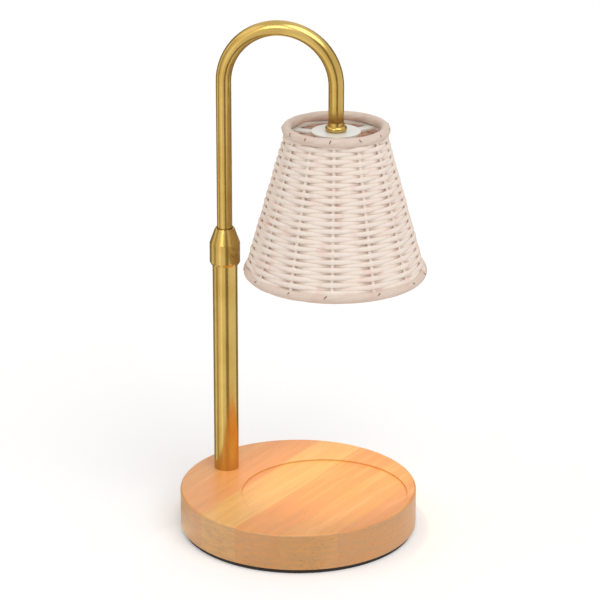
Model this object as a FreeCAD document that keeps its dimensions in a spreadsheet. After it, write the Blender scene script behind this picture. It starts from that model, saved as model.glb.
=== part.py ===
import FreeCAD, Part
import math
import os
import re

import Sketcher

Vector = FreeCAD.Vector
doc = FreeCAD.newDocument("candle_warmer_lamp")
sheet = doc.addObject("Spreadsheet::Sheet", "dims")

# Driving dimensions, in millimetres and degrees

DIMENSIONS = {
    # wooden base and its foot
    "base_radius": 76.0,
    "base_thickness": 24.0,
    "base_edge_round": 1.5,
    "pad_thickness": 3.0,
    "pad_inset": 1.8,
    # shallow seat for the candle, from near the pole to near the far edge
    "recess_depth": 1.0,
    "recess_edge_round": 0.4,
    "recess_margin": 3.0,
    "recess_from_pole": 22.6,
    # hollow under the base
    "base_rim": 12.0,
    "pocket_depth": 13.0,
    "well_radius": 11.5,
    "cover_lip": 5.0,
    "cover_thickness": 1.2,
    "cover_gap": 0.2,
    "cover_screw_radius": 1.6,
    "cover_screw_length": 9.0,
    # counterweight
    "weight_inset": 18.0,
    "weight_thickness": 8.0,
    "weight_offset": 10.0,
    "weight_bolt_inset": 10.0,
    "weight_screw_radius": 2.0,
    "weight_screw_grip": 5.5,
    # screw heads
    "screw_head_ratio": 1.9,
    "screw_head_height": 1.8,
    # cord outlet
    "outlet_angle": 155.0,
    "outlet_drop": 5.5,
    "grommet_radius": 4.6,
    "grommet_bore": 3.1,
    "grommet_flange_radius": 6.5,
    "grommet_flange": 1.6,
    "grommet_tail": 1.0,
    "spotface_play": 0.4,
    "spotface_depth": 2.2,
    # terminal block
    "lead_bearing": 58.0,
    "lead_run": 36.0,
    "block_length": 18.0,
    "block_width": 12.0,
    "block_height": 11.0,
    "block_screw_radius": 1.6,
    "block_screw_spacing": 8.0,
    "block_screw_length": 5.0,
    # threaded nipple that holds the pole
    "nipple_radius": 5.0,
    "nipple_bore": 3.5,
    "nipple_play": 0.2,
    "nut_across_flats": 14.0,
    "nut_thickness": 5.0,
    "washer_radius": 8.5,
    "washer_thickness": 1.0,
    "foot_plug_length": 14.0,
    # lower pole
    "pole_from_edge": 20.2,
    "lower_tube_radius": 8.0,
    "lower_tube_wall": 1.0,
    "lower_tube_length": 145.0,
    # collet in the top of the lower pole
    "collet_plug_length": 11.7,
    "collet_thread_radius": 7.6,
    "collet_thread_length": 7.5,
    "collet_finger_radius": 6.3,
    "collet_finger_length": 4.5,
    "collet_slot": 1.2,
    # clamp collar and its ferrule
    "collar_radius": 9.75,
    "collar_height": 24.0,
    "collar_skirt": 3.7,
    "collar_foot_chamfer": 1.4,
    "collar_cone_height": 9.9,
    "collar_mouth_radius": 6.2,
    "collar_mouth_wall": 0.8,
    "collar_thread_start": 6.0,
    "collar_thread_end": 12.6,
    "collar_pocket_end": 19.3,
    "ferrule_wall": 1.13,
    "ferrule_height": 3.0,
    # how far a cutting outline reaches past the piece
    "overrun": 1.0,
    # play between sliding and turning pieces
    "running_play": 0.05,
    "loose_play": 0.3,
    # gooseneck
    "upper_tube_radius": 4.9,
    "upper_tube_wall": 0.8,
    "upper_tube_inside": 38.0,
    "upper_leg_length": 154.4,
    "arch_radius": 35.6,
    "drop_leg_length": 28.5,
    "arm_swing": 23.0,
    # guide bush and its clips at the foot of the gooseneck
    "bush_height": 12.0,
    "bush_lift": 2.2,
    "clip_thickness": 1.0,
    "clip_depth": 1.3,
    "clip_gap": 0.2,
    # bead ring where the gooseneck meets the lamp head
    "bead_radius": 6.9,
    "bead_height": 3.5,
    "bead_depth": 1.2,
    "bead_sleeve_wall": 0.55,
    "bead_sleeve_height": 2.2,
    # lamp head
    "head_nipple_wall": 1.4,
    "head_nipple_above": 10.0,
    "head_nipple_below": 2.0,
    "disc_radius": 15.4,
    "disc_thickness": 1.3,
    "spacer_radius": 7.0,
    "spacer_thickness": 0.8,
    "frame_thickness": 1.2,
    "frame_hub_radius": 13.0,
    "frame_ring_width": 1.6,
    "frame_arm_width": 6.0,
    "frame_arms": 3,
    "frame_turn": 46.7,
    "head_nut_across_flats": 12.0,
    "head_nut_thickness": 4.0,
    # lamp holder
    "bracket_thickness": 1.2,
    "bracket_width": 10.0,
    "bracket_drop": 17.0,
    "holder_radius": 14.0,
    "holder_flat": 12.0,
    "holder_drop": 14.9,
    "holder_height": 16.0,
    "holder_screw_radius": 1.5,
    "holder_screw_length": 4.0,
    "holder_screw_drop": 4.0,
    "slot_circle": 5.0,
    "slot_width": 5.6,
    "slot_depth": 9.0,
    "slot_sweep": 138.0,
    "contact_thickness": 0.6,
    "contact_width": 4.0,
    # bulb
    "bulb_gap": 0.3,
    "bulb_height": 46.0,
    "bulb_face_radius": 25.0,
    "bulb_rim_height": 4.0,
    "bulb_bowl_height": 24.0,
    "bulb_bowl_bend": 34.0,
    "bulb_glass": 1.2,
    "bulb_neck_radius": 13.0,
    "bulb_cap_straight": 0.4,
    "bulb_cap_taper": 1.5,
    "lens_thickness": 1.5,
    "lens_inset": 0.8,
    "capsule_radius": 4.5,
    "capsule_length": 15.0,
    "capsule_tip": 1.01,
    "pin_radius": 1.5,
    "pin_head_radius": 2.5,
    "pin_head_height": 2.0,
    "pin_length": 7.0,
    # woven shade
    "shade_lift": 1.0,
    "shade_height": 92.3,
    "shade_top_radius": 30.9,
    "shade_bottom_radius": 54.9,
    "shade_wall": 3.8,
    "top_border_radius": 3.0,
    "bottom_border_radius": 3.3,
    "stake_radius": 1.1,
    "stake_count": 13,
    "stake_play": 0.05,
    # supply lead inside the pole and the gooseneck
    "lead_radius": 1.2,
    "lead_bend": 4.5,
    "lead_under_nut": 0.6,
    "lead_above_plug": 3.0,
}

for row, (alias, amount) in enumerate(DIMENSIONS.items(), start=1):
    sheet.set(f"A{row}", alias.replace("_", " "))
    sheet.set(f"B{row}", str(amount))
    sheet.setAlias(f"B{row}", alias)
doc.recompute()

# Expressions over the sheet's cells

WORD = re.compile(r"[a-z]+(?:_[a-z]+)*")
FUNCTIONS = {"cos", "sin", "tan", "sqrt"}


def bound(text):
    """The expression with every alias looked up in the sheet."""

    def prefixed(found):
        word = found.group()
        return word if word in FUNCTIONS else "dims." + word

    return WORD.sub(prefixed, text)


def size(text):
    """The expression's value now."""
    return float(sheet.evalExpression(bound(text)))


# Heights above the floor, from the foot upwards
WOOD_TOP = "(pad_thickness + base_thickness)"
CEILING = "(pad_thickness + pocket_depth)"
TUBE_TOP = f"({WOOD_TOP} + lower_tube_length)"
COLLAR_FOOT = f"({TUBE_TOP} - collar_skirt)"
ARM_FOOT = f"({TUBE_TOP} - upper_tube_inside)"
HEAD = f"({ARM_FOOT} + upper_leg_length - drop_leg_length)"

# Heights down the lamp head, one piece seated on the next
DISC_FOOT = f"({HEAD} - disc_thickness)"
SPACER_FOOT = f"({DISC_FOOT} - spacer_thickness)"
FRAME_FOOT = f"({SPACER_FOOT} - frame_thickness)"
BRACKET_FOOT = f"({FRAME_FOOT} - bracket_thickness)"
HEAD_NUT_FOOT = f"({BRACKET_FOOT} - head_nut_thickness)"
HOLDER_TOP = f"({HEAD} - holder_drop)"
HOLDER_FOOT = f"({HOLDER_TOP} - holder_height)"
BULB_TOP = f"({HOLDER_FOOT} - bulb_gap)"
BULB_FACE = f"({BULB_TOP} - bulb_height)"
SHADE_TOP = f"({HEAD} + shade_lift)"
SHADE_FOOT = f"({SHADE_TOP} - shade_height)"

# Plan positions of the pole and of the lamp head
POLE_X = "(pole_from_edge - base_radius)"
POLE = {"x": POLE_X, "y": "0"}
LAMP = {"x": f"{POLE_X} + 2 * arch_radius * cos(arm_swing)", "y": "2 * arch_radius * sin(arm_swing)"}

# Radii and places that follow from others
POCKET_RADIUS = "(base_radius - base_rim)"
COVER_SEAT = f"({POCKET_RADIUS} + cover_lip)"
COVER_SCREW_CIRCLE = f"({POCKET_RADIUS} + cover_lip / 2)"
RECESS_RADIUS = "((2 * base_radius - pole_from_edge - recess_from_pole - recess_margin) / 2)"
RECESS_X = f"(base_radius - recess_margin - {RECESS_RADIUS})"
WEIGHT_RADIUS = f"({POCKET_RADIUS} - weight_inset)"
WEIGHT_BOLT_CIRCLE = f"({WEIGHT_RADIUS} - weight_bolt_inset)"
NUT_FOOT = f"({CEILING} - washer_thickness - nut_thickness)"
LEAD_LEVEL = f"({NUT_FOOT} - lead_under_nut - lead_radius)"
TUBE_BORE = "(lower_tube_radius - lower_tube_wall)"
ARM_BORE = "(upper_tube_radius - upper_tube_wall)"
RUNNING_BORE = "(upper_tube_radius + running_play)"
SHADE_SLOPE = "((shade_bottom_radius - shade_top_radius) / shade_height)"


# Bodies and sketches


def origin_feature(body, role):
    """One of the body's own origin planes or axes."""
    return next(feature for feature in body.Origin.OriginFeatures if feature.Role == role)


def new_body(name, x="0", y="0", z="0", turn="0"):
    """An empty body whose place and turn about the vertical are bound to the sheet."""
    body = doc.addObject("PartDesign::Body", name)
    body.Label = name
    body.Placement = FreeCAD.Placement(Vector(), FreeCAD.Rotation(Vector(0, 0, 1), 1))
    body.setExpression("Placement.Base.x", bound(x))
    body.setExpression("Placement.Base.y", bound(y))
    body.setExpression("Placement.Base.z", bound(z))
    body.setExpression("Placement.Rotation.Angle", bound(turn))
    return body


def new_sketch(body, plane, shift=("0", "0", "0"), turn=None):
    """A sketch on one of the body's origin planes, shifted in its own axes."""
    sketch = body.newObject("Sketcher::SketchObject", body.Name + "_sketch")
    sketch.AttachmentSupport = [(origin_feature(body, plane), "")]
    sketch.MapMode = "FlatFace"
    if turn is not None:
        sketch.AttachmentOffset = FreeCAD.Placement(Vector(), FreeCAD.Rotation(Vector(0, 1, 0), 1))
        sketch.setExpression("AttachmentOffset.Rotation.Angle", bound(turn))
    for letter, text in zip("xyz", shift):
        sketch.setExpression("AttachmentOffset.Base." + letter, bound(text))
    return sketch


def hold_point(sketch, geometry, end, x, y):
    """Holds one end of a line at x, y from the sketch's origin."""
    for kind, text, axis in (("DistanceX", x, -2), ("DistanceY", y, -1)):
        if text == "0":
            sketch.addConstraint(Sketcher.Constraint("PointOnObject", geometry, end, axis))
            continue
        rule = sketch.addConstraint(Sketcher.Constraint(kind, -1, 1, geometry, end, size(text)))
        sketch.setExpression(f"Constraints[{rule}]", bound(text))


def arc_through(start, end, radius):
    """An arc between two points, on the left of the way from start to end where radius is positive."""
    across = end - start
    half = across.Length / 2
    sagitta = abs(radius) - math.sqrt(radius * radius - half * half)
    left = Vector(-across.y, across.x, 0).normalize()
    middle = start + across * 0.5 + left * math.copysign(sagitta, radius)
    return Part.Arc(end, middle, start) if radius > 0 else Part.Arc(start, middle, end)


def closed_outline(sketch, corners):
    """Lines between the corners; a third entry makes the edge up to the corner an arc of that radius."""
    places = [Vector(size(corner[0]), size(corner[1]), 0) for corner in corners]
    ends = []
    for index, corner in enumerate(corners):
        start, end = places[index - 1], places[index]
        if len(corner) == 3:
            edge = sketch.addGeometry(arc_through(start, end, size(corner[2])), False)
            forward = sketch.Geometry[edge].StartPoint.distanceToPoint(start) < 1e-6
            ends.append((edge, 1, 2) if forward else (edge, 2, 1))
        else:
            edge = sketch.addGeometry(Part.LineSegment(start, end), False)
            ends.append((edge, 1, 2))
    for index, corner in enumerate(corners):
        edge, _, last = ends[index]
        following, first, _ = ends[(index + 1) % len(ends)]
        sketch.addConstraint(Sketcher.Constraint("Coincident", edge, last, following, first))
        hold_point(sketch, edge, last, corner[0], corner[1])
        if len(corner) == 3:
            rule = sketch.addConstraint(Sketcher.Constraint("Radius", edge, abs(size(corner[2]))))
            sketch.setExpression(f"Constraints[{rule}]", bound(corner[2].lstrip("-")))
    return sketch


def circles(sketch, *rounds):
    """Circles given as x, y and radius."""
    for x, y, radius in rounds:
        centre = Vector(size(x), size(y), 0)
        edge = sketch.addGeometry(Part.Circle(centre, Vector(0, 0, 1), size(radius)), False)
        hold_point(sketch, edge, 3, x, y)
        rule = sketch.addConstraint(Sketcher.Constraint("Radius", edge, size(radius)))
        sketch.setExpression(f"Constraints[{rule}]", bound(radius))
    return sketch


# Features


def turned(body, corners, axis="V_Axis", shift="0"):
    """Revolves an outline about the sketch's upright axis, or about its level one."""
    sketch = closed_outline(new_sketch(body, "XZ_Plane", (shift, "0", "0")), corners)
    feature = body.newObject("PartDesign::Revolution", body.Name + "_turned")
    feature.Profile = sketch
    feature.ReferenceAxis = (sketch, [axis])
    feature.Angle = 360
    return feature


def raised(body, sketch, height):
    """Pads a sketch along its normal."""
    feature = body.newObject("PartDesign::Pad", body.Name + "_pad")
    feature.Profile = sketch
    feature.setExpression("Length", bound(height))
    return feature


def cut(body, sketch, depth, forward=True):
    """Cuts a sketch's outline out of the body, along its normal or against it."""
    doc.recompute()
    before = body.Shape.Volume
    feature = body.newObject("PartDesign::Pocket", body.Name + "_cut")
    feature.Profile = sketch
    feature.Reversed = forward
    feature.setExpression("Length", bound(depth))
    doc.recompute()
    if not body.Shape.Volume < before:
        raise ValueError(f"{feature.Name} of {body.Name} cuts nothing")
    return feature


def repeated(body, feature, count, sweep=360.0):
    """Copies a feature about the body's upright axis."""
    pattern = body.newObject("PartDesign::PolarPattern", body.Name + "_pattern")
    pattern.Originals = [feature]
    pattern.Axis = (origin_feature(body, "Z_Axis"), [""])
    pattern.Angle = sweep
    pattern.setExpression("Occurrences", bound(count))
    body.Tip = pattern
    return pattern


def rounded(body, kind, length, chosen):
    """Fillets or chamfers the edges that the test picks."""
    doc.recompute()
    tip = body.Tip
    names = [f"Edge{number}" for number, edge in enumerate(tip.Shape.Edges, start=1) if chosen(edge)]
    if not names:
        raise ValueError(f"{body.Name} has no such edge")
    feature = body.newObject("PartDesign::" + kind, body.Name + "_edge")
    feature.Base = (tip, names)
    feature.setExpression("Radius" if kind == "Fillet" else "Size", bound(length))
    return feature


def ring_edge(radius, height):
    """A test for the full circle of that radius and height about the body's axis."""

    def chosen(edge):
        curve = edge.Curve
        return (
            isinstance(curve, Part.Circle)
            and abs(curve.Radius - size(radius)) < 1e-4
            and abs(curve.Center.z - size(height)) < 1e-4
        )

    return chosen


def sleeve(name, outer, inner, z, height, place):
    """A plain round tube or ring."""
    body = new_body(name, z=z, **place)
    turned(body, [(inner, "0"), (outer, "0"), (outer, height), (inner, height)])
    return body


def hex_nut(name, across, bore, z, height, place, turn="0"):
    """A hexagon nut with its thread's bore."""
    body = new_body(name, z=z, turn=turn, **place)
    corner = f"({across} / sqrt(3))"
    angles = [60 * step + 30 for step in range(6)]
    corners = [(f"{corner} * cos({angle})", f"{corner} * sin({angle})") for angle in angles]
    sketch = closed_outline(new_sketch(body, "XY_Plane"), corners)
    circles(sketch, ("0", "0", bore))
    raised(body, sketch, height)
    return body


def screw_outline(shank, grip, head_height):
    """Half the outline of a screw that points up, with its head below."""
    head = f"({shank} * screw_head_ratio)"
    return [
        ("0", f"-{head_height}"),
        (head, f"-{head_height}"),
        (head, "0"),
        (shank, "0"),
        (shank, grip),
        ("0", grip),
    ]


# Base


def make_wood_base():
    """The turned disc with its candle seat, the hollow below, and the holes for pole, screws and cord."""
    body = new_body("wood_base", z="pad_thickness")
    turned(
        body,
        [
            ("0", "pocket_depth"),
            (POCKET_RADIUS, "pocket_depth"),
            (POCKET_RADIUS, "cover_thickness"),
            (COVER_SEAT, "cover_thickness"),
            (COVER_SEAT, "0"),
            ("base_radius", "0"),
            ("base_radius", "base_thickness"),
            ("0", "base_thickness"),
        ],
    )
    rounded(body, "Fillet", "base_edge_round", ring_edge("base_radius", "base_thickness"))
    seat = new_sketch(body, "XY_Plane", ("0", "0", "base_thickness - recess_depth"))
    cut(body, circles(seat, (RECESS_X, "0", RECESS_RADIUS)), "recess_depth + overrun")
    rounded(body, "Fillet", "recess_edge_round", ring_edge(RECESS_RADIUS, "base_thickness"))
    well = new_sketch(body, "XY_Plane", ("0", "0", "cover_thickness"))
    cut(body, circles(well, (POLE_X, "0", "well_radius")), "pocket_depth - cover_thickness")
    bore = new_sketch(body, "XY_Plane")
    cut(body, circles(bore, (POLE_X, "0", "nipple_radius + nipple_play")), "base_thickness + overrun")
    pilots = new_sketch(body, "XY_Plane", ("0", "0", "pocket_depth"))
    holes = ring_of("weight_offset", WEIGHT_BOLT_CIRCLE, "weight_screw_radius")
    cut(body, circles(pilots, *holes), "weight_screw_grip")
    pilots = new_sketch(body, "XY_Plane", ("0", "0", "cover_thickness"))
    holes = ring_of("0", COVER_SCREW_CIRCLE, "cover_screw_radius")
    cut(body, circles(pilots, *holes), "cover_screw_length - cover_thickness")
    outlet = new_sketch(body, "YZ_Plane", ("0", "pocket_depth - outlet_drop", "0"), turn="outlet_angle")
    cut(body, circles(outlet, ("0", "0", "grommet_radius")), "base_radius + overrun")
    spot = new_sketch(body, "YZ_Plane", ("0", "pocket_depth - outlet_drop", "0"), turn="outlet_angle")
    spot.setExpression("AttachmentOffset.Base.x", bound("(base_radius - spotface_depth) * sin(outlet_angle)"))
    spot.setExpression("AttachmentOffset.Base.z", bound("(base_radius - spotface_depth) * cos(outlet_angle)"))
    circles(spot, ("0", "0", "grommet_flange_radius + spotface_play"))
    cut(body, spot, "spotface_depth + 2 * overrun")
    return body


def ring_of(centre, distance, radius, count=3):
    """Equal circles on a bolt circle about a point of the base's centre line."""
    places = []
    for index in range(count):
        angle = 360 / count * index
        across = f"{distance} * sin({angle})" if index else "0"
        places.append((f"{centre} + {distance} * cos({angle})", across, radius))
    return places


def make_foot():
    """The soft pad under the base, and the cover plate with its screws."""
    pad = new_body("foot_pad")
    edge = "base_radius - pad_inset"
    turned(pad, [("0", "0"), (edge, "0"), (edge, "pad_thickness"), ("0", "pad_thickness")])
    cover = new_body("base_cover", z="pad_thickness")
    sketch = new_sketch(cover, "XY_Plane")
    circles(sketch, ("0", "0", f"{COVER_SEAT} - cover_gap"))
    circles(sketch, *ring_of("0", COVER_SCREW_CIRCLE, "cover_screw_radius"))
    raised(cover, sketch, "cover_thickness")
    screws = new_body("cover_screws", z="pad_thickness")
    radius, length = "cover_screw_radius", "cover_screw_length"
    outline = [("0", "0"), (radius, "0"), (radius, length), ("0", length)]
    screw = turned(screws, outline, shift=COVER_SCREW_CIRCLE)
    repeated(screws, screw, "3")


def make_counterweight():
    """The iron disc under the candle seat and the screws that hold it up."""
    place = {"x": "weight_offset", "y": "0"}
    weight = new_body("counterweight", z=f"{CEILING} - weight_thickness", **place)
    sketch = new_sketch(weight, "XY_Plane")
    circles(sketch, ("0", "0", WEIGHT_RADIUS))
    circles(sketch, *ring_of("0", WEIGHT_BOLT_CIRCLE, "weight_screw_radius"))
    raised(weight, sketch, "weight_thickness")
    screws = new_body("weight_screws", z=f"{CEILING} - weight_thickness", **place)
    length = "(weight_thickness + weight_screw_grip)"
    outline = screw_outline("weight_screw_radius", length, "screw_head_height")
    screw = turned(screws, outline, shift=WEIGHT_BOLT_CIRCLE)
    repeated(screws, screw, "3")


def make_cord_outlet():
    """The rubber grommet in the side of the base."""
    body = new_body("cord_grommet", z=f"{CEILING} - outlet_drop", turn="outlet_angle")
    seat = "(base_radius - spotface_depth)"
    inner = f"({POCKET_RADIUS} - grommet_tail)"
    turned(
        body,
        [
            (inner, "grommet_bore"),
            (f"{seat} + grommet_flange", "grommet_bore"),
            (f"{seat} + grommet_flange", "grommet_flange_radius"),
            (seat, "grommet_flange_radius"),
            (seat, "grommet_radius"),
            (inner, "grommet_radius"),
        ],
        axis="H_Axis",
    )


def make_terminal_block():
    """The block that joins the cord to the lead, with its two screws."""
    foot = f"({CEILING} - block_height)"
    body = new_body("terminal_block", z=foot, turn="lead_bearing", **POLE)
    near, far, half = "lead_run", "(lead_run + block_length)", "(block_width / 2)"
    sketch = closed_outline(
        new_sketch(body, "XY_Plane"),
        [(near, f"-{half}"), (far, f"-{half}"), (far, half), (near, half)],
    )
    raised(body, sketch, "block_height")
    middle = "lead_run + block_length / 2"
    places = [(f"{middle} {sign} block_screw_spacing / 2", "0", "block_screw_radius") for sign in ("-", "+")]
    cut(body, circles(new_sketch(body, "XY_Plane"), *places), "block_screw_length")
    screws = new_body("terminal_screws", z=foot, turn="lead_bearing", **POLE)
    raised(screws, circles(new_sketch(screws, "XY_Plane"), *places), "block_screw_length")


# Pole


def make_pole_foot():
    """The hollow threaded nipple with its nut, washer and the plug in the tube's foot."""
    sleeve("pole_nipple", "nipple_radius", "nipple_bore", NUT_FOOT,
           f"{WOOD_TOP} + foot_plug_length - {NUT_FOOT}", POLE)
    sleeve("pole_washer", "washer_radius", "nipple_radius + nipple_play", f"{CEILING} - washer_thickness",
           "washer_thickness", POLE)
    hex_nut("pole_nut", "nut_across_flats", "nipple_radius", NUT_FOOT, "nut_thickness", POLE)
    sleeve("tube_foot_plug", TUBE_BORE, "nipple_radius", WOOD_TOP, "foot_plug_length", POLE)


def make_collet():
    """The slotted collet in the pole's top: plug, thread and four fingers."""
    body = new_body("collet", z=f"{TUBE_TOP} - collet_plug_length", **POLE)
    thread_end = "(collet_plug_length + collet_thread_length)"
    tip = f"({thread_end} + collet_finger_length)"
    turned(
        body,
        [
            (RUNNING_BORE, "0"),
            (TUBE_BORE, "0"),
            (TUBE_BORE, "collet_plug_length"),
            ("collet_thread_radius", "collet_plug_length"),
            ("collet_thread_radius", thread_end),
            ("collet_finger_radius", thread_end),
            ("collet_finger_radius", tip),
            (RUNNING_BORE, tip),
        ],
    )
    reach, half = "(collet_thread_radius + overrun)", "(collet_slot / 2)"
    low, high = f"{thread_end} - overrun", f"{tip} + overrun"
    for plane in ("XZ_Plane", "YZ_Plane"):
        sketch = new_sketch(body, plane)
        closed_outline(sketch, [(f"-{half}", low), (half, low), (half, high), (f"-{half}", high)])
        feature = cut(body, sketch, f"2 * {reach}")
        feature.SideType = "Symmetric"
    doc.recompute()


def make_collar():
    """The brass collar that turns on the collet's thread, and the ferrule it presses down."""
    body = new_body("clamp_collar", z=COLLAR_FOOT, **POLE)
    cone = "(collar_height - collar_cone_height)"
    pocket = f"({RUNNING_BORE} + ferrule_wall + loose_play)"
    thread = "(collet_thread_radius + running_play)"
    skirt = "(lower_tube_radius + loose_play)"
    mouth = "(collar_mouth_radius - collar_mouth_wall)"
    turned(
        body,
        [
            (skirt, "0"),
            ("collar_radius - collar_foot_chamfer / 2", "0"),
            ("collar_radius", "collar_foot_chamfer"),
            ("collar_radius", cone),
            ("collar_mouth_radius", "collar_height"),
            (mouth, "collar_height"),
            (mouth, "collar_pocket_end"),
            (pocket, "collar_pocket_end"),
            (pocket, "collar_thread_end"),
            (thread, "collar_thread_end"),
            (thread, "collar_thread_start"),
            (skirt, "collar_thread_start"),
        ],
    )
    ferrule_foot = f"({TUBE_TOP} + collet_thread_length + collet_finger_length + loose_play)"
    outer = f"{RUNNING_BORE} + ferrule_wall"
    sleeve("clamp_ferrule", outer, RUNNING_BORE, ferrule_foot, "ferrule_height", POLE)


# Gooseneck


def arch_path(body, start, leg, drop):
    """The gooseneck's centre line: up, over and down."""
    sketch = new_sketch(body, "XZ_Plane")
    low, high = Vector(0, size(start), 0), Vector(0, size(f"{start} + {leg}"), 0)
    span = size("2 * arch_radius")
    far, end = high + Vector(span, 0, 0), high + Vector(span, -size(drop), 0)
    crown = high + Vector(span / 2, span / 2, 0)
    sketch.addGeometry(Part.LineSegment(low, high), False)
    arc = sketch.addGeometry(Part.Arc(far, crown, high), False)
    sketch.addGeometry(Part.LineSegment(far, end), False)
    sketch.addConstraint(Sketcher.Constraint("Coincident", 0, 2, arc, 2))
    sketch.addConstraint(Sketcher.Constraint("Coincident", arc, 1, 2, 1))
    hold_point(sketch, 0, 1, "0", start)
    hold_point(sketch, 0, 2, "0", f"{start} + {leg}")
    hold_point(sketch, 2, 1, "2 * arch_radius", f"{start} + {leg}")
    hold_point(sketch, 2, 2, "2 * arch_radius", f"{start} + {leg} - {drop}")
    level = f"{start} + {leg}"
    rule = sketch.addConstraint(Sketcher.Constraint("DistanceY", -1, 1, arc, 3, size(level)))
    sketch.setExpression(f"Constraints[{rule}]", bound(level))
    return sketch


def piped(body, profile, spine):
    """Sweeps a profile along a path."""
    feature = body.newObject("PartDesign::AdditivePipe", body.Name + "_pipe")
    feature.Profile = profile
    feature.Spine = spine
    return feature


def make_gooseneck():
    """The bent tube, and the two clips that hold its foot in the guide bush."""
    body = new_body("gooseneck_tube", z=ARM_FOOT, turn="arm_swing", **POLE)
    ring = circles(new_sketch(body, "XY_Plane"), ("0", "0", "upper_tube_radius"), ("0", "0", ARM_BORE))
    piped(body, ring, arch_path(body, "0", "upper_leg_length", "drop_leg_length"))
    clips = new_body("tube_clips", z=ARM_FOOT, **POLE)
    clip_radius = "(upper_tube_radius + clip_depth)"
    low = "(bush_lift - clip_gap - clip_thickness)"
    high = "(bush_lift + bush_height + clip_gap)"
    for foot in (low, high):
        turned(
            clips,
            [
                ("upper_tube_radius", foot),
                (clip_radius, foot),
                (clip_radius, f"{foot} + clip_thickness"),
                ("upper_tube_radius", f"{foot} + clip_thickness"),
            ],
        )
    outer, foot = f"{TUBE_BORE} - running_play", f"{ARM_FOOT} + bush_lift"
    sleeve("guide_bush", outer, RUNNING_BORE, foot, "bush_height", POLE)


def make_bead():
    """The bead ring that covers the gooseneck's end."""
    body = new_body("neck_bush", z=HEAD, **LAMP)
    sleeve_radius = "(upper_tube_radius + bead_sleeve_wall)"
    waist = "(bead_radius - bead_depth)"
    curve = "-(bead_height ^ 2 / 4 + bead_depth ^ 2) / (2 * bead_depth)"
    turned(
        body,
        [
            ("upper_tube_radius", "0"),
            (waist, "0"),
            (waist, "bead_height", curve),
            (sleeve_radius, "bead_height"),
            ("upper_tube_radius + bead_sleeve_wall / 3", "bead_height + bead_sleeve_height"),
            ("upper_tube_radius", "bead_height + bead_sleeve_height"),
        ],
    )


# Lamp head


def make_head_stack():
    """The nipple under the gooseneck and the pieces threaded on it."""
    foot = f"({HEAD_NUT_FOOT} - head_nipple_below)"
    length = f"{HEAD} + head_nipple_above - {foot}"
    sleeve("head_nipple", ARM_BORE, f"{ARM_BORE} - head_nipple_wall", foot, length, LAMP)
    sleeve("top_disc", "disc_radius", ARM_BORE, DISC_FOOT, "disc_thickness", LAMP)
    sleeve("head_spacer", "spacer_radius", ARM_BORE, SPACER_FOOT, "spacer_thickness", LAMP)
    hex_nut("head_nut", "head_nut_across_flats", ARM_BORE, HEAD_NUT_FOOT, "head_nut_thickness", LAMP)


def make_shade_frame():
    """The flat spider that hangs the shade: a hub, three arms and a ring."""
    body = new_body("shade_frame", z=FRAME_FOOT, turn="arm_swing + frame_turn", **LAMP)
    wall_inside = f"(shade_top_radius + ({SHADE_TOP} - {SPACER_FOOT}) * {SHADE_SLOPE} - shade_wall / 2)"
    ring = f"({wall_inside} - stake_play)"
    hub = circles(new_sketch(body, "XY_Plane"), ("0", "0", "frame_hub_radius"), ("0", "0", ARM_BORE))
    raised(body, hub, "frame_thickness")
    near, half = "(frame_hub_radius - overrun)", "(frame_arm_width / 2)"
    far = f"({ring} - frame_ring_width / 2)"
    corners = [(near, f"-{half}"), (far, f"-{half}"), (far, half), (near, half)]
    arm = raised(body, closed_outline(new_sketch(body, "XY_Plane"), corners), "frame_thickness")
    repeated(body, arm, "frame_arms")
    rim = circles(new_sketch(body, "XY_Plane"), ("0", "0", ring), ("0", "0", f"{ring} - frame_ring_width"))
    raised(body, rim, "frame_thickness")


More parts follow.
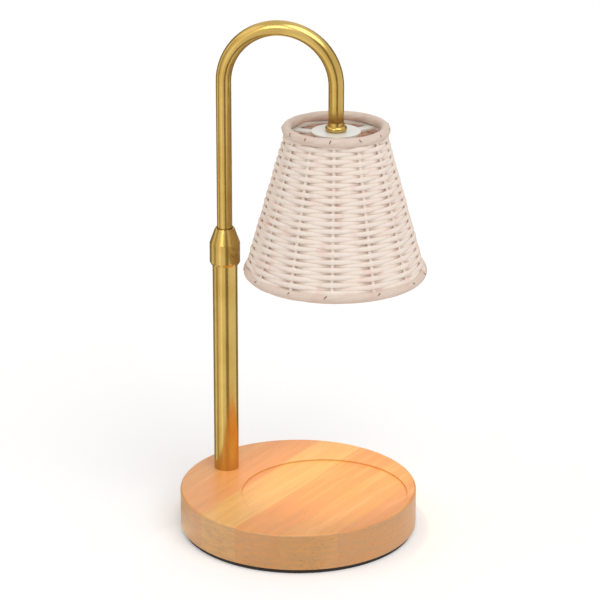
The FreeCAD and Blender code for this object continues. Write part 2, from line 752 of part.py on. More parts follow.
def make_lamp_holder():
    """The ceramic lamp holder, its bracket, screws and contacts."""
    holder = new_body("lamp_holder", z=HOLDER_FOOT, turn="arm_swing", **LAMP)
    raised(holder, circles(new_sketch(holder, "XY_Plane"), ("0", "0", "holder_radius")), "holder_height")
    reach = "(holder_radius + overrun)"
    for side in ("", "-"):
        sketch = new_sketch(holder, "XY_Plane")
        closed_outline(sketch, [(f"{side}holder_flat", f"-{reach}"), (f"{side}{reach}", f"-{reach}"),
                                (f"{side}{reach}", reach), (f"{side}holder_flat", reach)])
        cut(holder, sketch, "holder_height")
    for first in (0, 180):
        arc_slot(holder, first)
    screw_level = "(holder_height - holder_screw_drop)"
    depth = "(holder_flat - holder_screw_length)"
    for side, forward in (("", True), ("-", False)):
        sketch = new_sketch(holder, "YZ_Plane", ("0", screw_level, f"{side}{depth}"))
        circles(sketch, ("0", "0", "holder_screw_radius"))
        cut(holder, sketch, "holder_screw_length + overrun", forward)

    bracket = new_body("holder_bracket", z=BRACKET_FOOT, turn="arm_swing", **LAMP)
    outer = "(holder_flat + bracket_thickness)"
    sketch = new_sketch(bracket, "XZ_Plane", ("0", "0", "-bracket_width / 2"))
    closed_outline(
        sketch,
        [
            (f"-{outer}", "-bracket_drop"),
            ("-holder_flat", "-bracket_drop"),
            ("-holder_flat", "0"),
            ("holder_flat", "0"),
            ("holder_flat", "-bracket_drop"),
            (outer, "-bracket_drop"),
            (outer, "bracket_thickness"),
            (f"-{outer}", "bracket_thickness"),
        ],
    )
    raised(bracket, sketch, "bracket_width")
    bore = circles(new_sketch(bracket, "XY_Plane"), ("0", "0", ARM_BORE))
    cut(bracket, bore, "bracket_thickness + overrun")
    level = f"({HOLDER_FOOT} + {screw_level} - {BRACKET_FOOT})"
    for side, forward in (("", True), ("-", False)):
        sketch = new_sketch(bracket, "YZ_Plane", ("0", level, f"{side}(holder_flat - overrun)"))
        circles(sketch, ("0", "0", "holder_screw_radius"))
        cut(bracket, sketch, "bracket_thickness + 2 * overrun", forward)

    screws = new_body("bracket_screws", z=f"{HOLDER_FOOT} + {screw_level}", turn="arm_swing", **LAMP)
    head = "(holder_screw_radius * screw_head_ratio)"
    for side in ("", "-"):
        turned(
            screws,
            [
                (f"{side}{depth}", "0"),
                (f"{side}{depth}", "holder_screw_radius"),
                (f"{side}{outer}", "holder_screw_radius"),
                (f"{side}{outer}", head),
                (f"{side}({outer} + screw_head_height)", head),
                (f"{side}({outer} + screw_head_height)", "0"),
            ],
            axis="H_Axis",
        )

    seat = f"{HOLDER_FOOT} + slot_depth - contact_thickness"
    contacts = new_body("holder_contacts", z=seat, turn="arm_swing", **LAMP)
    half_wide = "(contact_width / 2)"
    for side in ("", "-"):
        middle = f"{side}slot_circle"
        sketch = new_sketch(contacts, "XY_Plane")
        closed_outline(
            sketch,
            [
                (f"-{half_wide}", f"{middle} - {half_wide}"),
                (half_wide, f"{middle} - {half_wide}"),
                (half_wide, f"{middle} + {half_wide}"),
                (f"-{half_wide}", f"{middle} + {half_wide}"),
            ],
        )
        raised(contacts, sketch, "contact_thickness")


def arc_slot(body, first):
    """One curved slot for a bulb pin, cut by turning a section about the holder's axis."""
    sketch = new_sketch(body, "YZ_Plane")
    inner, outer = "(slot_circle - slot_width / 2)", "(slot_circle + slot_width / 2)"
    side = "-" if first else ""
    near, far = f"{side}{inner}", f"{side}{outer}"
    closed_outline(sketch, [(near, "0"), (far, "0"), (far, "slot_depth"), (near, "slot_depth")])
    before = body.Shape.Volume
    feature = body.newObject("PartDesign::Groove", body.Name + "_slot")
    feature.Profile = sketch
    feature.ReferenceAxis = (sketch, ["V_Axis"])
    feature.Midplane = True
    feature.setExpression("Angle", bound("slot_sweep"))
    doc.recompute()
    if not body.Shape.Volume < before:
        raise ValueError(f"{feature.Name} cuts nothing")


# Bulb


def make_bulb():
    """The halogen reflector bulb with its cap, pins, front glass and capsule."""
    bowl_top = "(bulb_rim_height + bulb_bowl_height)"
    reflector = new_body("bulb_reflector", z=BULB_FACE, turn="arm_swing", **LAMP)
    inside = "(bulb_face_radius - bulb_glass)"
    turned(
        reflector,
        [
            (inside, "0"),
            ("bulb_face_radius", "0"),
            ("bulb_face_radius", "bulb_rim_height"),
            ("bulb_neck_radius", bowl_top, "-bulb_bowl_bend"),
            ("bulb_neck_radius - bulb_glass", bowl_top),
            (inside, "bulb_rim_height", "bulb_bowl_bend"),
        ],
    )
    lens = new_body("bulb_lens", z=f"{BULB_FACE} + lens_inset", turn="arm_swing", **LAMP)
    turned(lens, [("0", "0"), (inside, "0"), (inside, "lens_thickness"), ("0", "lens_thickness")])
    cap = new_body("bulb_cap", z=f"{BULB_FACE} + {bowl_top}", turn="arm_swing", **LAMP)
    cap_height = f"(bulb_height - {bowl_top})"
    turned(
        cap,
        [
            ("0", "0"),
            ("bulb_neck_radius", "0"),
            ("bulb_neck_radius", f"{cap_height} * bulb_cap_straight"),
            ("bulb_neck_radius - bulb_cap_taper", cap_height),
            ("0", cap_height),
        ],
    )
    capsule = new_body("bulb_capsule", z=f"{BULB_FACE} + {bowl_top} - capsule_length", **LAMP)
    turned(
        capsule,
        [
            ("0", "0"),
            ("capsule_radius", "capsule_radius", "-capsule_radius * capsule_tip"),
            ("capsule_radius", "capsule_length"),
            ("0", "capsule_length"),
        ],
    )
    pins = new_body("bulb_pins", z=BULB_TOP, turn="arm_swing + 90", **LAMP)
    neck = "(pin_length - pin_head_height)"
    pin = turned(
        pins,
        [
            ("0", "0"),
            ("pin_radius", "0"),
            ("pin_radius", neck),
            ("pin_head_radius", neck),
            ("pin_head_radius", "pin_length"),
            ("0", "pin_length"),
        ],
        shift="slot_circle",
    )
    repeated(pins, pin, "2")


# Shade


def make_shade():
    """The woven wall, the borders that wrap its edges, and the stakes that the weave runs round."""
    shell = []
    for name, sign in (("shade_outside", "+"), ("shade_inside", "-")):
        cone = doc.addObject("Part::Cone", name)
        cone.setExpression("Radius1", bound(f"shade_bottom_radius {sign} shade_wall / 2"))
        cone.setExpression("Radius2", bound(f"shade_top_radius {sign} shade_wall / 2"))
        cone.setExpression("Height", bound("shade_height"))
        shell.append(cone)
    wall = doc.addObject("Part::Cut", "shade_wall_solid")
    wall.Base, wall.Tool = shell
    borders = []
    for name, radius, tube, level in (
        ("shade_bottom_border", "shade_bottom_radius", "bottom_border_radius", SHADE_FOOT),
        ("shade_top_border", "shade_top_radius", "top_border_radius", SHADE_TOP),
    ):
        border = doc.addObject("Part::Torus", name)
        border.Label = name
        border.setExpression("Radius1", bound(radius))
        border.setExpression("Radius2", bound(tube))
        place_at(border, level)
        tool = doc.addObject("Part::Torus", name + "_seat")
        tool.setExpression("Radius1", bound(radius))
        tool.setExpression("Radius2", bound(tube))
        tool.setExpression("Placement.Base.z", bound(f"{level} - {SHADE_FOOT}"))
        borders.append(tool)
    seats = doc.addObject("Part::Fuse", "shade_border_seats")
    seats.Base, seats.Tool = borders
    weave = doc.addObject("Part::Cut", "shade_weave")
    weave.Label = "shade_weave"
    weave.Base, weave.Tool = wall, seats
    place_at(weave, SHADE_FOOT)

    stakes = new_body("shade_stakes", z=SHADE_FOOT, turn="arm_swing", **LAMP)
    low, high = "(bottom_border_radius + stake_play)", f"({FRAME_FOOT} - {SHADE_FOOT} - loose_play)"
    middle = "(shade_wall / 2 + stake_play + stake_radius)"
    back = f"({middle} + stake_radius)"
    corners = ((low, middle), (high, middle), (high, back), (low, back))
    sketch = closed_outline(
        new_sketch(stakes, "XZ_Plane"),
        [(f"shade_bottom_radius - {level} * {SHADE_SLOPE} - {inset}", level) for level, inset in corners],
    )
    stake = stakes.newObject("PartDesign::Revolution", "stake_turned")
    stake.Profile = sketch
    stake.ReferenceAxis = (sketch, ["Edge2"])
    stake.Angle = 360
    repeated(stakes, stake, "stake_count")


def place_at(feature, level):
    """Places a primitive on the lamp head's axis."""
    feature.setExpression("Placement.Base.x", bound(LAMP["x"]))
    feature.setExpression("Placement.Base.y", bound(LAMP["y"]))
    feature.setExpression("Placement.Base.z", bound(level))


# Supply lead


def make_leads():
    """The lead from the terminal block up the pole, its slack, and the run through the gooseneck."""
    top = f"({WOOD_TOP} + foot_plug_length + lead_above_plug)"
    low = new_body("lead_lower", turn="lead_bearing", **POLE)
    profile = circles(new_sketch(low, "XY_Plane", ("0", "0", top)), ("0", "0", "lead_radius"))
    piped(low, profile, bend_path(low, top, LEAD_LEVEL))

    slack = new_body("lead_slack", z=top, **POLE)
    length = f"({ARM_FOOT} - {top})"
    turned(slack, [("0", "0"), ("lead_radius", "0"), ("lead_radius", length), ("0", length)])

    arm = new_body("lead_upper", z=ARM_FOOT, turn="arm_swing", **POLE)
    profile = circles(new_sketch(arm, "XY_Plane"), ("0", "0", "lead_radius"))
    piped(arm, profile, arch_path(arm, "0", "upper_leg_length", "(drop_leg_length + holder_drop)"))


def bend_path(body, top, level):
    """The lower lead's centre line: down the nipple, through a bend and level to the block."""
    sketch = new_sketch(body, "XZ_Plane")
    bend, foot, run = size("lead_bend"), size(level), size("lead_run")
    high, low = Vector(0, size(top), 0), Vector(0, foot + bend, 0)
    near, far = Vector(bend, foot, 0), Vector(run, foot, 0)
    knee = Vector(bend - bend / math.sqrt(2), foot + bend - bend / math.sqrt(2), 0)
    sketch.addGeometry(Part.LineSegment(high, low), False)
    sketch.addGeometry(Part.Arc(low, knee, near), False)
    sketch.addGeometry(Part.LineSegment(near, far), False)
    sketch.addConstraint(Sketcher.Constraint("Coincident", 0, 2, 1, 1))
    sketch.addConstraint(Sketcher.Constraint("Coincident", 1, 2, 2, 1))
    hold_point(sketch, 0, 1, "0", top)
    hold_point(sketch, 0, 2, "0", f"{level} + lead_bend")
    hold_point(sketch, 2, 1, "lead_bend", level)
    hold_point(sketch, 2, 2, "lead_run", level)
    rule = sketch.addConstraint(Sketcher.Constraint("Radius", 1, bend))
    sketch.setExpression(f"Constraints[{rule}]", bound("lead_bend"))
    return sketch


# The whole lamp


def make_lamp():
    """Makes every piece, from the foot up."""
    make_wood_base()
    make_foot()
    make_counterweight()
    make_cord_outlet()
    make_terminal_block()
    make_pole_foot()
    sleeve("lower_tube", "lower_tube_radius", TUBE_BORE, WOOD_TOP, "lower_tube_length", POLE)
    make_collet()
    make_collar()
    make_gooseneck()
    make_bead()
    make_head_stack()
    make_shade_frame()
    make_lamp_holder()
    make_bulb()
    make_shade()
    make_leads()
    doc.recompute()


def checked_nodes():
    """The finished sub-parts, once every object has computed and every shape is valid."""
    failed = [item.Name for item in doc.Objects if {"Invalid", "Error"} & set(item.State)]
    if failed:
        raise ValueError(f"these objects failed: {failed}")
    shade = ("shade_weave", "shade_top_border", "shade_bottom_border")
    nodes = [item for item in doc.Objects if item.TypeId == "PartDesign::Body" or item.Name in shade]
    for node in nodes:
        if node.Shape.isNull() or not node.Shape.isValid() or not node.Shape.Solids:
            raise ValueError(f"{node.Label} is not a valid solid")
    return nodes


def write_parts():
    """Writes one STEP file per sub-part."""
    os.makedirs("parts", exist_ok=True)
    for node in checked_nodes():
        node.Shape.exportStep(f"parts/{node.Label}.step")
        box = node.Shape.BoundBox
        print(f"{node.Label:22s} solids {len(node.Shape.Solids)} volume {node.Shape.Volume:10.1f}",
              f"z {box.ZMin:7.2f} to {box.ZMax:7.2f}")


make_lamp()
write_parts()
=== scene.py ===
"""A candle warmer lamp: its woven shade, its finishes, its warm light and the studio round it."""

from __future__ import annotations

import logging
import math
import random
from dataclasses import dataclass, field
from enum import Enum
from typing import Mapping, Optional, Sequence, Union

import bpy
from mathutils import Matrix, Vector

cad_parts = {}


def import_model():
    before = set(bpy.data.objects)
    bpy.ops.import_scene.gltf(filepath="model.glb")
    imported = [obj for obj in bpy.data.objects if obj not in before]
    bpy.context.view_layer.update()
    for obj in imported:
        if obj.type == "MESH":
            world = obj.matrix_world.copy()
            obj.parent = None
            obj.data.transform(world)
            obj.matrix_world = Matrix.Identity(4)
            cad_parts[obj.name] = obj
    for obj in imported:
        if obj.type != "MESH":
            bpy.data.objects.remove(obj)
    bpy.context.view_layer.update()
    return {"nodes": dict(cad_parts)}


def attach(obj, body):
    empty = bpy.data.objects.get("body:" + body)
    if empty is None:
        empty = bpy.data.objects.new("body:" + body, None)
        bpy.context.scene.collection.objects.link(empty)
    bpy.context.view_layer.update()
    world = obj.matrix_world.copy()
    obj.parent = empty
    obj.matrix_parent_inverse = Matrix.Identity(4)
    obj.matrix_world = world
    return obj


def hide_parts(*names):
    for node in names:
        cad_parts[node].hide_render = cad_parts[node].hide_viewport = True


MM = 0.001
SHADE_AXIS = (9.74, 27.82)
RUN = "cane_run"
WHITE = (1.0, 1.0, 1.0)
LOG = logging.getLogger("lamp")

Colour = tuple[float, float, float]
Number = Union[int, float]
Feed = Union["Value", bpy.types.NodeSocket, Number, Sequence[float]]
Point = tuple[float, float, float]


class Slot(Enum):
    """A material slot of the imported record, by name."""

    CANE = "cane"


class Body(Enum):
    """The moving bodies that new pieces and lamps ride on."""

    ARM = "arm"


class LampKind(Enum):
    """The kinds of lamp."""

    SPOT = "SPOT"
    POINT = "POINT"
    SUN = "SUN"


class Tint(Enum):
    """The colours of the boards that the brass mirrors."""

    DIM = (1.0, 0.86, 0.5)
    BRIGHT = (1.0, 0.96, 0.82)


# Node trees


@dataclass(frozen=True)
class Value:
    """A number that runs through a node tree, with Python's own arithmetic."""

    bench: "NodeBench"
    socket: bpy.types.NodeSocket

    def math(self, operation: str, *others: "Operand", swapped: bool = False) -> "Value":
        """Adds one Math node.

        Args:
            operation: the Math node's operation.
            others: the other operands, in order.
            swapped: puts this value after the first of the others.

        Returns:
            The node's result.
        """
        operands: list[Feed] = [self.socket, *others]
        if swapped:
            operands[0], operands[1] = operands[1], operands[0]
        node = self.bench.node("ShaderNodeMath", {"operation": operation}, dict(enumerate(operands)))
        return Value(self.bench, node.outputs[0])

    def __add__(self, other: "Operand") -> "Value":
        """self + other."""
        return self.math("ADD", other)

    def __radd__(self, other: "Operand") -> "Value":
        """other + self."""
        return self.math("ADD", other)

    def __sub__(self, other: "Operand") -> "Value":
        """self - other."""
        return self.math("SUBTRACT", other)

    def __rsub__(self, other: "Operand") -> "Value":
        """other - self."""
        return self.math("SUBTRACT", other, swapped=True)

    def __mul__(self, other: "Operand") -> "Value":
        """self * other."""
        return self.math("MULTIPLY", other)

    def __rmul__(self, other: "Operand") -> "Value":
        """other * self."""
        return self.math("MULTIPLY", other)

    def __truediv__(self, other: "Operand") -> "Value":
        """self / other."""
        return self.math("DIVIDE", other)

    def __rtruediv__(self, other: "Operand") -> "Value":
        """other / self."""
        return self.math("DIVIDE", other, swapped=True)

    def above(self, low: float, high: float) -> "Value":
        """Rises softly from 0 to 1.

        Args:
            low: where the result leaves 0.
            high: where it reaches 1.

        Returns:
            The eased share.
        """
        node = self.bench.node(
            "ShaderNodeMapRange",
            {"interpolation_type": "SMOOTHSTEP", "clamp": True},
            {"Value": self, "From Min": low, "From Max": high},
        )
        return Value(self.bench, node.outputs["Result"])

    def below(self, low: float, high: float) -> "Value":
        """Falls softly from 1 at low to 0 at high."""
        return 1 - self.above(low, high)


Operand = Union[Value, Number]


class NodeBench:
    """Builds one node tree, a node at a time."""

    def __init__(self, tree: bpy.types.NodeTree) -> None:
        """Starts from an empty tree."""
        self.tree = tree
        self.tree.nodes.clear()

    def node(
        self,
        kind: str,
        settings: Optional[Mapping[str, object]] = None,
        inputs: Optional[Mapping[Union[str, int], Feed]] = None,
    ) -> bpy.types.Node:
        """Adds any node.

        Args:
            kind: the node's type.
            settings: its properties, set first; "stops" are a ramp's positions and colours.
            inputs: what goes into its sockets, by name or by place: values or links.

        Returns:
            The new node.
        """
        made = self.tree.nodes.new(kind)
        for name, setting in (settings or {}).items():
            if name == "stops":
                self._set_stops(made.color_ramp, setting)
            else:
                setattr(made, name, setting)
        for key, feed in (inputs or {}).items():
            self._feed(made.inputs[key], feed)
        return made

    def _set_stops(self, ramp: bpy.types.ColorRamp, stops: Sequence[tuple[float, Colour]]) -> None:
        """Gives a ramp its stops, in rising order.

        Args:
            ramp: the ramp.
            stops: the position and colour of each stop.
        """
        while len(ramp.elements) < len(stops):
            ramp.elements.new(1.0)
        for element, (position, colour) in zip(ramp.elements, stops):
            element.position = position
            element.color = (*colour, 1.0)

    def _feed(self, target: bpy.types.NodeSocket, feed: Feed) -> None:
        """Links a socket, or sets its own number.

        Args:
            target: the socket.
            feed: what goes into it: a value, another node's socket, a number or a row of numbers.
        """
        if isinstance(feed, Value):
            feed = feed.socket
        if isinstance(feed, bpy.types.NodeSocket):
            self.tree.links.new(feed, target)
        elif isinstance(feed, (int, float)):
            target.default_value = feed
        else:
            numbers = tuple(feed)
            wanted = len(target.default_value)
            target.default_value = numbers + (1.0,) * (wanted - len(numbers))

    def value(self, node: bpy.types.Node, name: Union[str, int] = 0) -> Value:
        """One output of a node, ready for arithmetic."""
        return Value(self, node.outputs[name])

    def place(self) -> bpy.types.NodeSocket:
        """Where a point is on the resting piece, in metres."""
        return self.node("ShaderNodeTexCoord").outputs["Object"]

    def attribute(self, name: str) -> bpy.types.NodeSocket:
        """A mesh's own stored vector."""
        node = self.node("ShaderNodeAttribute", {"attribute_type": "GEOMETRY", "attribute_name": name})
        return node.outputs["Vector"]

    def split(self, vector: Feed) -> tuple[Value, Value, Value]:
        """The three parts of a vector."""
        node = self.node("ShaderNodeSeparateXYZ", {}, {0: vector})
        return self.value(node, 0), self.value(node, 1), self.value(node, 2)

    def vector(self, operation: str, first: Feed, second: Feed) -> bpy.types.NodeSocket:
        """Adds one Vector Math node.

        Args:
            operation: the node's operation.
            first: the first vector.
            second: the second vector.

        Returns:
            The resulting vector.
        """
        node = self.node("ShaderNodeVectorMath", {"operation": operation}, {0: first, 1: second})
        return node.outputs["Vector"]

    def mix(self, share: Feed, first: Feed, second: Feed) -> bpy.types.NodeSocket:
        """Mixes two colours.

        Args:
            share: how much of the second shows.
            first: the colour at 0.
            second: the colour at 1.

        Returns:
            The mixed colour.
        """
        settings = {"data_type": "RGBA", "clamp_factor": True}
        return self.node("ShaderNodeMix", settings, {0: share, 6: first, 7: second}).outputs[2]

    def steps(self, share: Feed, stops: Sequence[tuple[float, Colour]]) -> bpy.types.NodeSocket:
        """Plain steps of colour.

        Args:
            share: where on the steps it is read, from 0 to 1.
            stops: where each step starts, and its colour.

        Returns:
            The step's colour.
        """
        node = self.node("ShaderNodeValToRGB", {"stops": stops}, {"Fac": share})
        node.color_ramp.interpolation = "CONSTANT"
        return node.outputs[0]

    def noise(self, vector: Feed, scale: float, detail: float = 2.0, roughness: float = 0.5) -> Value:
        """Cloudy noise.

        Args:
            vector: where it is read.
            scale: how many lumps to a unit.
            detail: how many finer layers it has.
            roughness: how strong the finer layers are.

        Returns:
            The noise, from about 0.2 to 0.8.
        """
        inputs = {"Vector": vector, "Scale": scale, "Detail": detail, "Roughness": roughness}
        return self.value(self.node("ShaderNodeTexNoise", {}, inputs))

    def cells(self, vector: Feed, scale: float) -> Value:
        """The distance to the nearest of many scattered points."""
        inputs = {"Vector": vector, "Scale": scale}
        return self.value(self.node("ShaderNodeTexVoronoi", {}, inputs), "Distance")

    def bump(self, height: Feed, distance: float, strength: float = 1.0) -> bpy.types.NodeSocket:
        """Turns a height into a normal.

        Args:
            height: the height, from 0 to 1.
            distance: how far 1 stands out, in metres.
            strength: the share of it that shows.

        Returns:
            The normal.
        """
        inputs = {"Height": height, "Distance": distance, "Strength": strength}
        return self.node("ShaderNodeBump", {}, inputs).outputs["Normal"]

    def seen(self) -> Value:
        """One where the eye, a mirror or clear glass looks, and zero for all other light.

        Returns:
            That number.
        """
        path = self.node("ShaderNodeLightPath")
        eye = self.value(path, "Is Camera Ray")
        mirror = self.value(path, "Is Glossy Ray")
        glass = self.value(path, "Is Transmission Ray")
        return eye.math("MAXIMUM", mirror).math("MAXIMUM", glass)

    def surface(self, inputs: Mapping[Union[str, int], Feed]) -> None:
        """Ends the tree in one solid surface shader."""
        shader = self.node("ShaderNodeBsdfPrincipled", {}, inputs)
        self.end(shader, "ShaderNodeOutputMaterial")

    def end(self, shader: bpy.types.Node, kind: str) -> None:
        """Ends the tree in a shader."""
        self.node(kind, {}, {"Surface": shader.outputs[0]})


@dataclass(frozen=True)
class Grain:
    """One layer of noise, drawn out by its scale along each axis."""

    scale: Point
    detail: float = 2.0
    roughness: float = 0.5

    def read(self, bench: NodeBench, place: Feed) -> Value:
        """The layer, read at a place."""
        return bench.noise(bench.vector("MULTIPLY", place, self.scale), 1.0, self.detail, self.roughness)


@dataclass(frozen=True)
class Fade:
    """The values between which a layer comes in, and how strongly it shows."""

    low: float
    high: float
    share: float = 1.0

    def rise(self, value: Value) -> Value:
        """Shows the high places of a layer."""
        return value.above(self.low, self.high) * self.share

    def fall(self, value: Value) -> Value:
        """Shows the low places of a layer."""
        return value.below(self.low, self.high) * self.share


# Finishes


@dataclass(frozen=True)
class Finish:
    """A surface that pieces are dressed in."""

    name: str

    def material(self) -> bpy.types.Material:
        """The material of this finish, made when it is first asked for.

        Returns:
            The material.
        """
        found = bpy.data.materials.get(self.name)
        if found is None:
            found = bpy.data.materials.new(self.name)
            found.use_nodes = True
            self.paint(NodeBench(found.node_tree))
        return found

    def paint(self, bench: NodeBench) -> None:
        """Fills the material's node tree."""
        raise NotImplementedError

    def dress(self, *pieces: bpy.types.Object) -> None:
        """Puts this finish on pieces, in place of what they wore.

        Args:
            pieces: the pieces.
        """
        for piece in pieces:
            piece.data.materials.clear()
            piece.data.materials.append(self.material())
            LOG.info("%s wears %s", piece.name, self.name)


@dataclass(frozen=True)
class Brass(Finish):
    """Solid brass under clear lacquer, from satin to polished."""

    colour: Colour = (0.595, 0.415, 0.13)
    deep: Colour = (0.525, 0.345, 0.095)
    rough_low: float = 0.15
    rough_high: float = 0.25
    clouds: Grain = Grain((45.0, 45.0, 45.0), 3.0)
    deepening: Fade = Fade(0.35, 0.7)
    drawing: Grain = Grain((2600.0, 2600.0, 60.0))
    relief: float = 0.000004
    lacquer: float = 0.05
    lacquer_rough: float = 0.12

    def paint(self, bench: NodeBench) -> None:
        """Slow clouds of tone, fine drawing lines and a soft lacquer.

        Args:
            bench: the material's empty node tree.
        """
        place = bench.place()
        clouds = self.clouds.read(bench, place)
        lines = self.drawing.read(bench, place)
        bench.surface({
            "Base Color": bench.mix(self.deepening.rise(clouds), self.colour, self.deep),
            "Metallic": 1.0,
            "Roughness": lines * (self.rough_high - self.rough_low) + self.rough_low,
            "Normal": bench.bump(lines, self.relief),
            "Coat Weight": self.lacquer,
            "Coat Roughness": self.lacquer_rough,
        })


@dataclass(frozen=True)
class PaleHardwood(Finish):
    """Edge-glued pale hardwood staves, oiled, with small dark pores."""

    staves: tuple[tuple[float, Colour], ...] = (
        (-76.0, (0.77, 0.36, 0.125)),
        (-56.0, (0.80, 0.34, 0.115)),
        (-27.5, (0.83, 0.44, 0.13)),
        (1.6, (0.80, 0.315, 0.08)),
        (30.5, (0.79, 0.345, 0.088)),
        (59.0, (0.73, 0.295, 0.088)),
    )
    radius: float = 76.0
    stave_step: float = 0.17
    stave_shift: Point = (900.0, 900.0, 900.0)
    facing_up: Fade = Fade(0.3, 0.9)
    pore: Colour = (0.34, 0.17, 0.07)
    streak: Colour = (0.64, 0.27, 0.09)
    light_streak: Colour = (0.90, 0.53, 0.22)
    # side colour of the upright faces: partly their end-grain tone, partly a painted shade for the side
    # getting less light than the top
    side: Colour = (0.54, 0.30, 0.13)
    side_shade_share: float = 0.45
    figure: Grain = Grain((0.16, 0.012, 0.16), 4.0, 0.55)
    figure_dark: Fade = Fade(0.45, 0.75, 0.5)
    figure_light: Fade = Fade(0.28, 0.48, 0.36)
    bands: Grain = Grain((0.55, 0.02, 0.55), 3.0, 0.6)
    bands_dark: Fade = Fade(0.5, 0.75, 0.36)
    fibres: Grain = Grain((3.2, 0.12, 3.2), 3.0, 0.6)
    fibres_dark: Fade = Fade(0.4, 0.8, 0.16)
    rings: Grain = Grain((0.11, 0.01, 0.62), 3.0, 0.55)
    rings_dark: Fade = Fade(0.35, 0.65, 0.4)
    pores: Grain = Grain((1.9, 0.3, 1.9), 1.0)
    pore_holes: Fade = Fade(0.69, 0.75)
    pore_patches: Fade = Fade(0.42, 0.6)
    pore_share: float = 0.75
    ends: Grain = Grain((0.5, 0.5, 2.2), 1.0)
    end_holes: Fade = Fade(0.63, 0.70)
    end_patches: Fade = Fade(0.40, 0.55)
    end_share: float = 0.6
    patches: Grain = Grain((0.05, 0.02, 0.05))
    rough_low: float = 0.34
    rough_high: float = 0.54
    fibre_height: float = 0.35
    relief: float = 0.00012
    relief_share: float = 0.6
    oil: float = 0.18
    oil_rough: float = 0.3

    def paint(self, bench: NodeBench) -> None:
        """Staves, slow figure, fine fibres and pores drawn out along the grain.

        Args:
            bench: the material's empty node tree.
        """
        place = bench.vector("MULTIPLY", bench.place(), (1 / MM, 1 / MM, 1 / MM))
        across, _, _ = bench.split(place)
        _, _, facing = bench.split(bench.node("ShaderNodeTexCoord").outputs["Normal"])
        flat = self.facing_up.rise(facing)
        upright = 1 - flat
        share = (across + self.radius) / (2 * self.radius)
        starts = [(start + self.radius) / (2 * self.radius) for start, _ in self.staves]
        staves = bench.steps(share, [(start, tone) for start, (_, tone) in zip(starts, self.staves)])
        shifts = [(start, (index * self.stave_step % 1, 0.0, 0.0)) for index, start in enumerate(starts)]
        shift = bench.vector("MULTIPLY", bench.steps(share, shifts), self.stave_shift)
        moved = bench.vector("ADD", place, shift)
        figure = self.figure.read(bench, moved)
        fibres = self.fibres.read(bench, moved)
        rings = self.rings_dark.rise(self.rings.read(bench, moved))
        patches = self.patches.read(bench, moved)
        pores = self.pore_holes.rise(self.pores.read(bench, moved)) * self.pore_patches.rise(patches)
        ends = self.end_holes.rise(self.ends.read(bench, place)) * self.end_patches.rise(patches) * upright
        tone = staves
        for mask, colour in (
            (self.figure_dark.rise(figure), self.streak),
            (self.figure_light.fall(figure) * flat, self.light_streak),
            (self.bands_dark.rise(self.bands.read(bench, moved)), self.streak),
            (self.fibres_dark.rise(fibres), self.streak),
            # upright faces: end-grain rings, plus a painted shade that darkens the whole side
            (upright * (rings + self.side_shade_share), self.side),
            (pores * self.pore_share, self.pore),
            (ends * self.end_share, self.pore),
        ):
            tone = bench.mix(mask, tone, colour)
        height = fibres * self.fibre_height - pores - ends
        bench.surface({
            "Base Color": tone,
            "Roughness": fibres * (self.rough_high - self.rough_low) + self.rough_low,
            "Normal": bench.bump(height, self.relief, self.relief_share),
            "Coat Weight": self.oil,
            "Coat Roughness": self.oil_rough,
        })


@dataclass(frozen=True)
class Speckled(Finish):
    """A plain body colour with a fine speckle, for foam, rubber, plastic, stone ware and paint."""

    colour: Colour
    spot: Colour
    grain: float
    spots: float
    relief: float
    rough_low: float
    rough_high: float
    metal: float = 0.0
    coat: float = 0.0
    cloud_grain: float = 0.06
    clouds: Fade = Fade(0.4, 0.7, 0.5)
    specks: Fade = Fade(0.5, 0.75)
    relief_share: float = 0.5

    def paint(self, bench: NodeBench) -> None:
        """Slow and fine noise in colour, gloss and height.

        Args:
            bench: the material's empty node tree.
        """
        place = bench.place()
        slow = bench.noise(place, self.grain * self.cloud_grain, detail=3.0)
        fine = bench.noise(place, self.grain)
        mask = (self.clouds.rise(slow) + self.specks.rise(fine)) * self.spots
        bench.surface({
            "Base Color": bench.mix(mask, self.colour, self.spot),
            "Roughness": fine * (self.rough_high - self.rough_low) + self.rough_low,
            "Metallic": self.metal,
            "Coat Weight": self.coat,
            "Normal": bench.bump(fine, self.relief, self.relief_share),
        })


@dataclass(frozen=True)
class WhitewashedCane(Finish):
    """Split cane under a thin white wash that leaves warmer patches and fine fibres."""

    wash: Colour = (0.85, 0.74, 0.655)
    bare: Colour = (0.70, 0.52, 0.39)
    pink: Colour = (0.83, 0.65, 0.56)
    rose: Colour = (0.80, 0.57, 0.49)
    patches: Grain = Grain((90.0, 1.2, 7.0), 3.0, 0.6)
    patches_pink: Fade = Fade(0.45, 0.78, 0.55)
    clouds: Grain = Grain((38.0, 38.0, 38.0))
    clouds_pink: Fade = Fade(0.5, 0.75, 0.35)
    spots: Grain = Grain((95.0, 95.0, 95.0))
    spots_rose: Fade = Fade(0.56, 0.72, 0.5)
    fibres: Grain = Grain((260.0, 9.0, 3.0), 3.0, 0.65)
    fibres_bare: Fade = Fade(0.55, 0.85, 0.45)
    rough_low: float = 0.5
    rough_high: float = 0.75
    relief: float = 0.00012
    relief_share: float = 0.6

    def paint(self, bench: NodeBench) -> None:
        """Reads each strand's own length, so that fibres follow its bends.

        Args:
            bench: the material's empty node tree.
        """
        run, place = bench.attribute(RUN), bench.place()
        fibres = self.fibres.read(bench, run)
        tone = bench.mix(self.patches_pink.rise(self.patches.read(bench, run)), self.wash, self.pink)
        tone = bench.mix(self.clouds_pink.rise(self.clouds.read(bench, place)), tone, self.pink)
        tone = bench.mix(self.spots_rose.rise(self.spots.read(bench, place)), tone, self.rose)
        tone = bench.mix(self.fibres_bare.rise(fibres), tone, self.bare)
        bench.surface({
            "Base Color": tone,
            "Roughness": fibres * (self.rough_high - self.rough_low) + self.rough_low,
            "Normal": bench.bump(fibres, self.relief, self.relief_share),
        })


